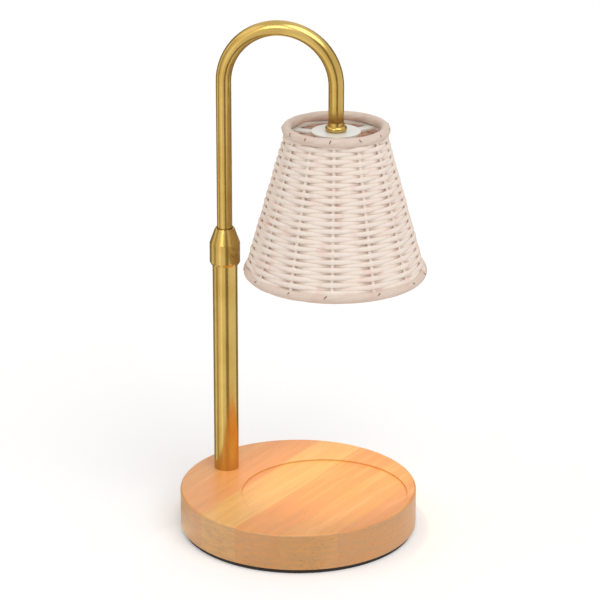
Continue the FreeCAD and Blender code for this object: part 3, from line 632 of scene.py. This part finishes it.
@dataclass(frozen=True)
class Glowing(Finish):
    """Glass with the light of the lamp behind it."""

    glass: Colour = (0.9, 0.88, 0.85)
    edge: Colour = (1.0, 0.52, 0.2)
    core: Colour = (1.0, 0.82, 0.52)
    strength: float = 5.0
    facet_scale: float = 420.0
    glow_edge: Fade = Fade(0.15, 0.6)
    glass_edge: Fade = Fade(0.2, 0.7)
    rough_low: float = 0.08
    rough_high: float = 0.23
    relief: float = 0.0002
    relief_share: float = 0.6

    def paint(self, bench: NodeBench) -> None:
        """Small facets that glow in two warm tones.

        Args:
            bench: the material's empty node tree.
        """
        facets = bench.cells(bench.place(), self.facet_scale)
        bench.surface({
            "Base Color": bench.mix(self.glass_edge.rise(facets), self.glass, self.core),
            "Roughness": facets * (self.rough_high - self.rough_low) + self.rough_low,
            "Emission Color": bench.mix(self.glow_edge.rise(facets), self.core, self.edge),
            "Emission Strength": self.strength,
            "Normal": bench.bump(facets, self.relief, self.relief_share),
        })


@dataclass(frozen=True)
class FloorPaper(Finish):
    """The pale paper of the floor, a little brighter where it is looked at."""

    tone: Colour = (0.90, 0.892, 0.885)
    rough: float = 0.8
    shine: float = 0.1
    glow: float = 0.145

    def paint(self, bench: NodeBench) -> None:
        """Plain matt paper that keeps the object's shadow.

        Args:
            bench: the material's empty node tree.
        """
        bench.surface({
            "Base Color": self.tone,
            "Roughness": self.rough,
            "Specular IOR Level": self.shine,
            "Emission Color": WHITE,
            "Emission Strength": bench.seen() * self.glow,
        })


@dataclass(frozen=True)
class BoardGlow(Finish):
    """The even light of a board."""

    tint: Tint
    strength: float

    def paint(self, bench: NodeBench) -> None:
        """One plain glow."""
        inputs = {"Color": self.tint.value, "Strength": self.strength}
        bench.end(bench.node("ShaderNodeEmission", {}, inputs), "ShaderNodeOutputMaterial")


SATIN_BRASS = Brass("satin_brass")
POLISHED_BRASS = Brass("polished_brass", rough_low=0.1, rough_high=0.18)
TURNED_BRASS = Brass("turned_brass", rough_low=0.16, rough_high=0.26)
HARDWOOD = PaleHardwood("pale_hardwood")
FOOT_FOAM = Speckled(
    "foot_foam", (0.02, 0.018, 0.017), (0.05, 0.045, 0.04),
    grain=1400.0, spots=0.5, relief=0.00008, rough_low=0.8, rough_high=0.95,
)
ZINC_STEEL = Speckled(
    "zinc_steel", (0.62, 0.63, 0.65), (0.42, 0.43, 0.46),
    grain=700.0, spots=0.4, relief=0.00001, rough_low=0.25, rough_high=0.4, metal=1.0,
)
CAST_IRON = Speckled(
    "cast_iron", (0.16, 0.155, 0.15), (0.08, 0.075, 0.07),
    grain=800.0, spots=0.6, relief=0.0001, rough_low=0.55, rough_high=0.8, metal=0.8,
)
RUBBER = Speckled(
    "grommet_rubber", (0.03, 0.03, 0.03), (0.055, 0.055, 0.055),
    grain=1200.0, spots=0.4, relief=0.00003, rough_low=0.6, rough_high=0.8,
)
TERMINAL_PLASTIC = Speckled(
    "terminal_plastic", (0.72, 0.70, 0.64), (0.62, 0.60, 0.54),
    grain=900.0, spots=0.3, relief=0.00002, rough_low=0.4, rough_high=0.55,
)
NYLON = Speckled(
    "bush_nylon", (0.80, 0.79, 0.75), (0.70, 0.69, 0.64),
    grain=900.0, spots=0.3, relief=0.00001, rough_low=0.35, rough_high=0.5,
)
LEAD_SHEATH = Speckled(
    "lead_sheath", (0.72, 0.69, 0.62), (0.60, 0.57, 0.50),
    grain=1100.0, spots=0.3, relief=0.00002, rough_low=0.4, rough_high=0.6,
)
WHITE_METAL = Speckled(
    "white_metal", (0.69, 0.62, 0.52), (0.58, 0.52, 0.43),
    grain=600.0, spots=0.35, relief=0.00002, rough_low=0.35, rough_high=0.5, coat=0.15,
)
CERAMIC = Speckled(
    "holder_ceramic", (0.80, 0.78, 0.73), (0.68, 0.66, 0.61),
    grain=500.0, spots=0.3, relief=0.00002, rough_low=0.3, rough_high=0.5, coat=0.2,
)
CONTACT_METAL = Speckled(
    "contact_metal", (0.66, 0.63, 0.58), (0.50, 0.47, 0.42),
    grain=900.0, spots=0.3, relief=0.00001, rough_low=0.2, rough_high=0.35, metal=1.0,
)
SILVERED_GLASS = Speckled(
    "bulb_mirror", (0.86, 0.85, 0.83), (0.70, 0.69, 0.68),
    grain=500.0, spots=0.25, relief=0.00001, rough_low=0.06, rough_high=0.14, metal=1.0, coat=0.4,
)
FRONT_GLASS = Glowing("bulb_front_glass")
CAPSULE_GLOW = Glowing("bulb_glow", strength=12.0)
CANE = WhitewashedCane("whitewashed_cane")
BORDER_CANE = WhitewashedCane(
    "border_cane",
    wash=(0.71, 0.575, 0.485),
    bare=(0.56, 0.40, 0.29),
    pink=(0.69, 0.52, 0.43),
    rose=(0.66, 0.46, 0.38),
)
# dark brown for the border gaps: painted shade in them, partly the darker core
GAP_SHADE_AND_CORE = Speckled(
    "gap_shade_and_core", (0.20, 0.13, 0.085), (0.12, 0.08, 0.05),
    grain=900.0, spots=0.5, relief=0.00003, rough_low=0.7, rough_high=0.9,
)
FLOOR_PAPER = FloorPaper("floor_paper")


# Mesh making


def put(name: str, data: bpy.types.ID) -> bpy.types.Object:
    """Puts a mesh, lamp or camera in the scene.

    Args:
        name: the new object's name.
        data: the mesh, lamp or camera.

    Returns:
        The new object.
    """
    made = bpy.data.objects.new(name, data)
    bpy.context.scene.collection.objects.link(made)
    return made


def bearing(azimuth: float, elevation: float = 0.0) -> Vector:
    """The direction out from the object, from angles in radians as the camera's are."""
    level = math.cos(elevation)
    return Vector((math.sin(azimuth) * level, -math.cos(azimuth) * level, math.sin(elevation)))


@dataclass
class Strand:
    """A round or flat strand swept along points, with its length kept on the mesh."""

    name: str
    sides: int = 8
    fullness: float = 1.0
    verts: list[Vector] = field(default_factory=list)
    faces: list[tuple[int, ...]] = field(default_factory=list)
    runs: list[Point] = field(default_factory=list)

    def sweep(
        self,
        centres: Sequence[Vector],
        ups: Sequence[Vector],
        widths: Sequence[float],
        depths: Sequence[float],
        mark: float = 0.0,
    ) -> None:
        """Adds one strand with a cap at each end.

        Args:
            centres: the points of its middle line.
            ups: the direction of its width at each point.
            widths: half its width at each point.
            depths: half its thickness at each point.
            mark: a number of its own, which moves its colouring.
        """
        first, end, length = len(self.verts), len(centres) - 1, 0.0
        for index, centre in enumerate(centres):
            before, after = centres[max(index - 1, 0)], centres[min(index + 1, end)]
            ahead = (after - before).normalized()
            up = (ups[index] - ahead * ups[index].dot(ahead)).normalized()
            out = ahead.cross(up)
            length += (centre - before).length
            for side in range(self.sides):
                turn = math.tau * side / self.sides
                offset = up * (self.full(math.cos(turn)) * widths[index])
                offset += out * (self.full(math.sin(turn)) * depths[index])
                self.verts.append(centre + offset)
                self.runs.append((length, side / self.sides + mark, mark))
        for ring in range(end):
            here = first + ring * self.sides
            there = here + self.sides
            for side in range(self.sides):
                beside = (side + 1) % self.sides
                self.faces.append((here + side, there + side, there + beside, here + beside))
        last = first + end * self.sides
        self.faces.append(tuple(first + side for side in range(self.sides)))
        self.faces.append(tuple(last + side for side in reversed(range(self.sides))))

    def full(self, share: float) -> float:
        """Rounds a section's side less than a circle's where fullness is under 1."""
        return math.copysign(abs(share) ** self.fullness, share)

    def piece(self) -> bpy.types.Object:
        """The finished object, smooth, in the scene.

        Returns:
            The object.
        """
        mesh = bpy.data.meshes.new(self.name)
        mesh.from_pydata([tuple(vert) for vert in self.verts], [], self.faces)
        run = mesh.attributes.new(RUN, "FLOAT_VECTOR", "POINT")
        run.data.foreach_set("vector", [number for point in self.runs for number in point])
        mesh.polygons.foreach_set("use_smooth", [True] * len(mesh.polygons))
        mesh.update()
        return put(self.name, mesh)


# Sub-assemblies


@dataclass
class DressedGroup:
    """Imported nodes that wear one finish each."""

    finishes: Mapping[str, Finish]

    def dress(self, nodes: Mapping[str, bpy.types.Object]) -> None:
        """Dresses every node of the group."""
        for name, finish in self.finishes.items():
            finish.dress(nodes[name])


@dataclass(frozen=True)
class Border:
    """A rolled border of the shade: the size of its middle line, its height and its roll, in mm."""

    name: str
    radius: float
    height: float
    roll: float


@dataclass
class WovenShade:
    """The shade: upright stakes, one long strand woven round them and a rolled border at each end."""

    top: Border = Border("shade_top_roll", 30.9, 260.9, 3.0)
    foot: Border = Border("shade_foot_roll", 54.9, 168.6, 3.3)
    phase: float = math.radians(23.0)
    stakes: int = 13
    rounds: int = 39
    steps: int = 8
    inset: float = 0.9
    flare: float = 1.7
    swing: float = 1.15
    dip: float = 1.7
    overlap: float = 1.3
    strand_sides: int = 12
    strand_fullness: float = 0.78
    strand_width: float = 1.36
    strand_spread: float = 0.3
    strand_depth: float = 0.95
    strand_sway: float = 0.16
    strand_swell: float = 0.07
    strand_push: float = 0.22
    stake_sides: int = 10
    stake_rings: int = 60
    stake_width: float = 1.25
    stake_depth: float = 0.85
    stake_inset: float = 0.55
    stake_sway: float = 0.15
    stake_mark: float = 0.37
    border_sides: int = 36
    border_swell: float = 0.07
    laps: int = 4
    lap_rings: int = 20
    lay_step: float = 0.16
    seam_depth: float = 0.3
    seam_sharpness: int = 8
    gap_sides: int = 6
    gap_tilt: float = math.radians(28.0)
    gap_shift: float = 0.2
    gap_reach: tuple[float, float] = (0.6, 1.2)
    gap_slant: float = 1.0
    gap_rings: tuple[float, ...] = (-1.0, -0.4, 0.4, 1.0)
    gap_widths: tuple[float, ...] = (0.15, 0.42, 0.36, 0.12)
    gap_depth: float = 0.22
    seed: int = 7

    def __post_init__(self) -> None:
        """Works out the slope of the wall."""
        drop = self.top.height - self.foot.height
        spread = self.foot.radius - self.top.radius
        self.slope = math.hypot(drop, spread)
        self.rise = (drop / self.slope, -spread / self.slope)
        self.luck = random.Random(self.seed)

    def on_wall(self, angle: float, up: float, out: float) -> Vector:
        """A point of the wall.

        Args:
            angle: the angle round the axis, in radians.
            up: how far up the slope from the middle of the foot border, in mm.
            out: how far outside the line between the borders, in mm.

        Returns:
            The point, in metres.
        """
        lift, lean = self.rise
        radius = self.foot.radius + lean * up + lift * out + self.flare * (1.0 - up / self.slope)
        height = self.foot.height + lift * up - lean * out
        x = SHADE_AXIS[0] + radius * math.cos(angle)
        y = SHADE_AXIS[1] + radius * math.sin(angle)
        return Vector((x, y, height)) * MM

    def up_slope(self, angle: float) -> Vector:
        """The direction up the wall."""
        lift, lean = self.rise
        return Vector((lean * math.cos(angle), lean * math.sin(angle), lift))

    def wobble(self, count: int, size: float) -> list[float]:
        """Smooth hand-made unevenness.

        Args:
            count: how many numbers are wanted.
            size: the most that each may be, either way.

        Returns:
            The numbers, each near its neighbours.
        """
        knots = [self.luck.uniform(-size, size) for _ in range(count // self.steps + 3)]
        made = []
        for index in range(count):
            knot, share = divmod(index / self.steps, 1.0)
            eased = share * share * (3 - 2 * share)
            made.append(knots[int(knot)] * (1 - eased) + knots[int(knot) + 1] * eased)
        return made

    def weave(self) -> bpy.types.Object:
        """The one long strand that goes round and round, in front of a stake and behind the next.

        Returns:
            The strand.
        """
        count = self.rounds * self.stakes * self.steps + 1
        start, end = self.foot.roll - self.overlap, self.slope - self.top.roll + self.overlap
        sway = self.wobble(count, self.strand_sway)
        swell = self.wobble(count, self.strand_swell)
        push = self.wobble(count, self.strand_push)
        centres, ups, widths, depths = [], [], [], []
        for index in range(count):
            turned = index / (self.stakes * self.steps)
            angle = self.phase + turned * math.tau
            up = start + (end - start) * turned / self.rounds
            wave = math.cos(self.stakes / 2 * turned * math.tau)
            out = self.swing * math.copysign(abs(wave) ** self.dip, wave) - self.inset + push[index]
            centres.append(self.on_wall(angle, up + sway[index], out))
            ups.append(self.up_slope(angle))
            widths.append((self.strand_width + self.strand_spread * wave * wave + swell[index]) * MM)
            depths.append((self.strand_depth + swell[index]) * MM)
        strand = Strand("shade_woven_strand", self.strand_sides, self.strand_fullness)
        strand.sweep(centres, ups, widths, depths)
        return strand.piece()

    def uprights(self) -> bpy.types.Object:
        """The stakes, from border to border.

        Returns:
            The stakes, as one piece.
        """
        strand = Strand("shade_upright_stakes", self.stake_sides)
        rings = self.stake_rings
        widths, depths = [self.stake_width * MM] * rings, [self.stake_depth * MM] * rings
        for stake in range(self.stakes):
            angle = self.phase + stake * math.tau / self.stakes
            lean = self.wobble(rings, self.stake_sway)
            ups = [Vector((-math.sin(angle), math.cos(angle), 0.0))] * rings
            centres = [
                self.on_wall(angle, self.slope * ring / (rings - 1), lean[ring] - self.stake_inset)
                for ring in range(rings)
            ]
            strand.sweep(centres, ups, widths, depths, mark=stake * self.stake_mark)
        return strand.piece()

    def border(self, edge: Border) -> bpy.types.Object:
        """The stakes' ends laid side by side along a border, each turning slowly round it.

        Args:
            edge: the border's name and sizes.

        Returns:
            The border.
        """
        strand = Strand(edge.name, self.border_sides)
        axis = Vector((*SHADE_AXIS, edge.height))
        rings = self.stakes * self.lap_rings
        swell = self.wobble(rings, self.border_swell)
        swell[-self.steps:] = [swell[0]] * self.steps
        for ring in range(rings):
            spoke = self.phase + math.tau * ring / rings
            rim = Vector((math.cos(spoke), math.sin(spoke), 0.0))
            for side in range(strand.sides):
                lay = (ring / self.lap_rings - side * self.laps / strand.sides) % 1.0
                seam = abs(2 * lay - 1) ** self.seam_sharpness * self.seam_depth
                size = edge.roll - seam + (lay - 0.5) * self.lay_step + swell[ring]
                turn = math.tau * side / strand.sides
                out = rim * math.cos(turn) + Vector((0.0, 0.0, math.sin(turn)))
                strand.verts.append((axis + rim * edge.radius + out * size) * MM)
                strand.runs.append((math.tau * edge.radius * ring / rings * MM, lay, 0.0))
                beside, after = (side + 1) % strand.sides, (ring + 1) % rings
                strand.faces.append((
                    ring * strand.sides + side,
                    after * strand.sides + side,
                    after * strand.sides + beside,
                    ring * strand.sides + beside,
                ))
        return strand.piece()

    def gaps(self) -> bpy.types.Object:
        """The small gaps in both borders, where the ends of the stakes turn in, as dark pieces: painted
        shade in the gaps, partly the darker core.

        Returns:
            The gaps, as one piece.
        """
        strand = Strand("shade_border_gaps", self.gap_sides)
        lift = Vector((0.0, 0.0, math.sin(self.gap_tilt)))
        widths = [width * MM for width in self.gap_widths]
        depths = [self.gap_depth * MM] * len(widths)
        for edge in (self.top, self.foot):
            for stake in range(self.stakes):
                shift = self.luck.uniform(-self.gap_shift, self.gap_shift)
                angle = self.phase + (stake + shift) * math.tau / self.stakes
                rim = Vector((math.cos(angle), math.sin(angle), 0.0))
                along = Vector((-math.sin(angle), math.cos(angle), 0.0))
                out = rim * math.cos(self.gap_tilt) + lift
                over = along.cross(out) * self.luck.uniform(*self.gap_reach)
                over += along * self.luck.uniform(-self.gap_slant, self.gap_slant)
                middle = rim * edge.radius + out * edge.roll + Vector((*SHADE_AXIS, edge.height))
                centres = [(middle + over * share) * MM for share in self.gap_rings]
                strand.sweep(centres, [along] * len(centres), widths, depths)
        return strand.piece()

    def build(self) -> list[bpy.types.Object]:
        """Makes the woven pieces in place of the plain ones.

        Returns:
            The pieces.
        """
        woven = {
            "shade_weave": self.weave(),
            "shade_stakes": self.uprights(),
            "shade_top_border": self.border(self.top),
            "shade_bottom_border": self.border(self.foot),
        }
        for node, piece in woven.items():
            finish = BORDER_CANE if node.endswith("border") else CANE
            finish.dress(piece)
            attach(piece, Body.ARM.value)
            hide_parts(node)
            LOG.info("made %s with %d faces", piece.name, len(piece.data.polygons))
        gaps = self.gaps()
        # the gap pieces wear dark brown: painted shade, partly the darker core
        GAP_SHADE_AND_CORE.dress(gaps)
        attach(gaps, Body.ARM.value)
        LOG.info("made %s with %d faces", gaps.name, len(gaps.data.polygons))
        return [*woven.values(), gaps]


@dataclass
class WarmLight:
    """The light of the lit lamp: a beam on the candle's place and a glow inside the shade."""

    beam_height: float = 181.5
    beam_source: float = 16.0
    beam_power: float = 0.56
    beam_angle: float = math.radians(66.0)
    beam_blend: float = 0.9
    beam_colour: Colour = (1.0, 0.78, 0.3)
    glow_count: int = 3
    glow_circle: float = 30.0
    glow_height: float = 204.0
    glow_source: float = 3.0
    glow_power: float = 0.005
    glow_colour: Colour = (1.0, 0.38, 0.16)

    def lamp(
        self,
        name: str,
        kind: LampKind,
        power: float,
        colour: Colour,
        height: float,
        source: float,
    ) -> bpy.types.Object:
        """Adds one small lamp on the shade's axis.

        Args:
            name: the lamp's name.
            kind: the kind of lamp.
            power: its power, in watts.
            colour: its colour.
            height: its height, in mm.
            source: the radius of its source, in mm.

        Returns:
            The lamp, riding with the shade.
        """
        data = bpy.data.lights.new(name, kind.value)
        data.energy = power
        data.color = colour
        data.shadow_soft_size = source * MM
        made = put(name, data)
        made.location = Vector((*SHADE_AXIS, height)) * MM
        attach(made, Body.ARM.value)
        LOG.info("lit %s", name)
        return made

    def build(self) -> None:
        """Lights the lamp."""
        beam = self.lamp(
            "lamp_beam", LampKind.SPOT, self.beam_power, self.beam_colour, self.beam_height, self.beam_source
        )
        beam.data.spot_size = self.beam_angle
        beam.data.spot_blend = self.beam_blend
        for index in range(self.glow_count):
            name = f"shade_glow_{index}"
            angle = math.tau * index / self.glow_count
            glow = self.lamp(
                name, LampKind.POINT, self.glow_power, self.glow_colour, self.glow_height, self.glow_source
            )
            glow.location += Vector((math.cos(angle), math.sin(angle), 0.0)) * self.glow_circle * MM


@dataclass
class PhotoCamera:
    """The camera, at the viewing angle of the photograph; its angles are in degrees."""

    azimuth: float = 32.7305
    elevation: float = 19.1003
    distance: float = 1.722667
    aim_height: float = 0.187467
    pitch: float = 20.13745
    yaw: float = 0.033
    roll: float = 0.08732
    lens: float = 165.2592
    sensor: float = 36.0
    near: float = 0.05
    far: float = 60.0

    def build(self) -> None:
        """Places the camera and makes it the scene's own."""
        data = bpy.data.cameras.new("camera")
        data.lens = self.lens
        data.sensor_width = self.sensor
        data.clip_start, data.clip_end = self.near, self.far
        azimuth = math.radians(self.azimuth)
        back = bearing(azimuth, math.radians(self.elevation))
        place = Matrix.Translation(Vector((0.0, 0.0, self.aim_height)) + back * self.distance)
        turn = Matrix.Rotation(azimuth - math.radians(self.yaw), 4, "Z")
        tip = Matrix.Rotation(math.radians(90.0 - self.pitch), 4, "X")
        made = put("camera", data)
        made.matrix_world = place @ turn @ tip @ Matrix.Rotation(math.radians(self.roll), 4, "Z")
        bpy.context.scene.camera = made


@dataclass(frozen=True)
class Board:
    """A board that lies on the floor out from the pole and then stands up, for the brass to mirror.

    Its place is in degrees round the pole from the camera's side, and its width in degrees too. A board
    that doesn't lie only stands. Its foot and top are heights in metres.
    """

    name: str
    place: float
    width: float
    strength: float
    tint: Tint = Tint.DIM
    lies: bool = True
    foot: float = 0.0004
    top: float = 1.6
    near: float = 0.03
    far: float = 2.4

    def build(self, middle: Vector, view: float) -> bpy.types.Object:
        """Makes the board.

        Args:
            middle: the foot of the pole.
            view: the camera's azimuth, in degrees.

        Returns:
            The board, which only glossy reflections see.
        """
        turn = math.radians(view + self.place)
        out = bearing(turn)
        along = Vector((math.cos(turn), math.sin(turn), 0.0)) * math.tan(math.radians(self.width / 2))
        rows = [(self.far, self.foot), (self.far, self.top)]
        if self.lies:
            rows.insert(0, (self.near, self.foot))
        corners = [
            tuple(middle + (out + along * side) * reach + Vector((0.0, 0.0, height)))
            for reach, height in rows
            for side in (-1.0, 1.0)
        ]
        mesh = bpy.data.meshes.new(self.name)
        mesh.from_pydata(corners, [], [(at, at + 1, at + 3, at + 2) for at in range(0, len(corners) - 2, 2)])
        made = put(self.name, mesh)
        BoardGlow(self.name, self.tint, self.strength).dress(made)
        for flag in ("visible_camera", "visible_diffuse", "visible_shadow", "visible_transmission"):
            setattr(made, flag, False)
        return made


@dataclass(frozen=True)
class Sun:
    """A soft distant lamp: where it comes from is in degrees, as the camera's place is."""

    name: str
    power: float
    azimuth: float
    elevation: float
    softness: float = math.radians(50.0)

    def build(self) -> None:
        """Adds the lamp."""
        data = bpy.data.lights.new(self.name, LampKind.SUN.value)
        data.energy = self.power
        data.angle = self.softness
        back = bearing(math.radians(self.azimuth), math.radians(self.elevation))
        made = put(self.name, data)
        made.rotation_mode = "QUATERNION"
        made.rotation_quaternion = back.to_track_quat("Z", "Y")


@dataclass
class Studio:
    """A white room: light from all round, two soft lamps, a pale floor and boards that the brass mirrors."""

    fill: float = 0.63
    suns: tuple[Sun, ...] = (
        Sun("key_light", 1.2, 66.0, 55.0),
        Sun("left_fill", 0.3, -50.0, 35.0),
    )
    floor_size: float = 14.0
    middle: Point = (-0.0558, 0.0, 0.0)
    view: float = 32.7
    boards: tuple[Board, ...] = (
        Board("board_front", 17.0, 26.0, 0.34),
        Board("board_left", -80.0, 24.0, 0.6),
        Board("board_far_right", 140.0, 50.0, 0.3),
        Board("board_far_left", -140.0, 50.0, 0.35),
        Board("card_left", -36.0, 15.0, 1.5, Tint.BRIGHT),
        Board("card_high", -24.0, 20.0, 5.5, Tint.BRIGHT, lies=False, foot=1.1, top=2.6),
    )

    def room(self) -> None:
        """The white surroundings, weaker as light than as a view."""
        world = bpy.data.worlds.new("white_room")
        world.use_nodes = True
        bench = NodeBench(world.node_tree)
        strength = bench.seen() * (1.0 - self.fill) + self.fill
        back = bench.node("ShaderNodeBackground", {}, {"Color": WHITE, "Strength": strength})
        bench.end(back, "ShaderNodeOutputWorld")
        bpy.context.scene.world = world

    def floor(self) -> None:
        """A pale floor that keeps the object's shadow."""
        half = self.floor_size / 2
        mesh = bpy.data.meshes.new("floor")
        corners = [(-half, -half, 0.0), (half, -half, 0.0), (half, half, 0.0), (-half, half, 0.0)]
        mesh.from_pydata(corners, [], [(0, 1, 2, 3)])
        made = put("floor", mesh)
        FLOOR_PAPER.dress(made)

    def build(self) -> None:
        """Sets up the room."""
        self.room()
        for sun in self.suns:
            sun.build()
        self.floor()
        for board in self.boards:
            board.build(Vector(self.middle), self.view)
        bpy.context.scene.view_settings.view_transform = "Standard"


BASE = DressedGroup({
    "wood_base": HARDWOOD,
    "foot_pad": FOOT_FOAM,
    "base_cover": ZINC_STEEL,
    "cover_screws": ZINC_STEEL,
    "counterweight": CAST_IRON,
    "weight_screws": ZINC_STEEL,
    "cord_grommet": RUBBER,
    "terminal_block": TERMINAL_PLASTIC,
    "terminal_screws": CONTACT_METAL,
})
POLE = DressedGroup({
    "pole_nipple": ZINC_STEEL,
    "pole_washer": ZINC_STEEL,
    "pole_nut": ZINC_STEEL,
    "tube_foot_plug": TURNED_BRASS,
    "lower_tube": SATIN_BRASS,
    "collet": TURNED_BRASS,
    "clamp_ferrule": TURNED_BRASS,
    "clamp_collar": TURNED_BRASS,
    "guide_bush": NYLON,
    "lead_lower": LEAD_SHEATH,
    "lead_slack": LEAD_SHEATH,
    "lead_upper": LEAD_SHEATH,
})
ARM = DressedGroup({
    "gooseneck_tube": SATIN_BRASS,
    "tube_clips": ZINC_STEEL,
    "neck_bush": POLISHED_BRASS,
    "head_nipple": ZINC_STEEL,
    "head_nut": ZINC_STEEL,
    "top_disc": WHITE_METAL,
    "head_spacer": ZINC_STEEL,
    "shade_frame": WHITE_METAL,
    "holder_bracket": ZINC_STEEL,
    "bracket_screws": ZINC_STEEL,
    "lamp_holder": CERAMIC,
    "holder_contacts": CONTACT_METAL,
})
BULB = DressedGroup({
    "bulb_reflector": SILVERED_GLASS,
    "bulb_lens": FRONT_GLASS,
    "bulb_cap": CERAMIC,
    "bulb_capsule": CAPSULE_GLOW,
    "bulb_pins": CONTACT_METAL,
})


def main() -> None:
    """Builds the lamp's looks and the room, in order."""
    logging.basicConfig(level=logging.INFO, format="%(name)s: %(message)s")
    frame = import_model()
    for group in (BASE, POLE, ARM, BULB):
        group.dress(frame["nodes"])
    WovenShade().build()
    WarmLight().build()
    Studio().build()
    PhotoCamera().build()


if __name__ == "__main__":
    main()
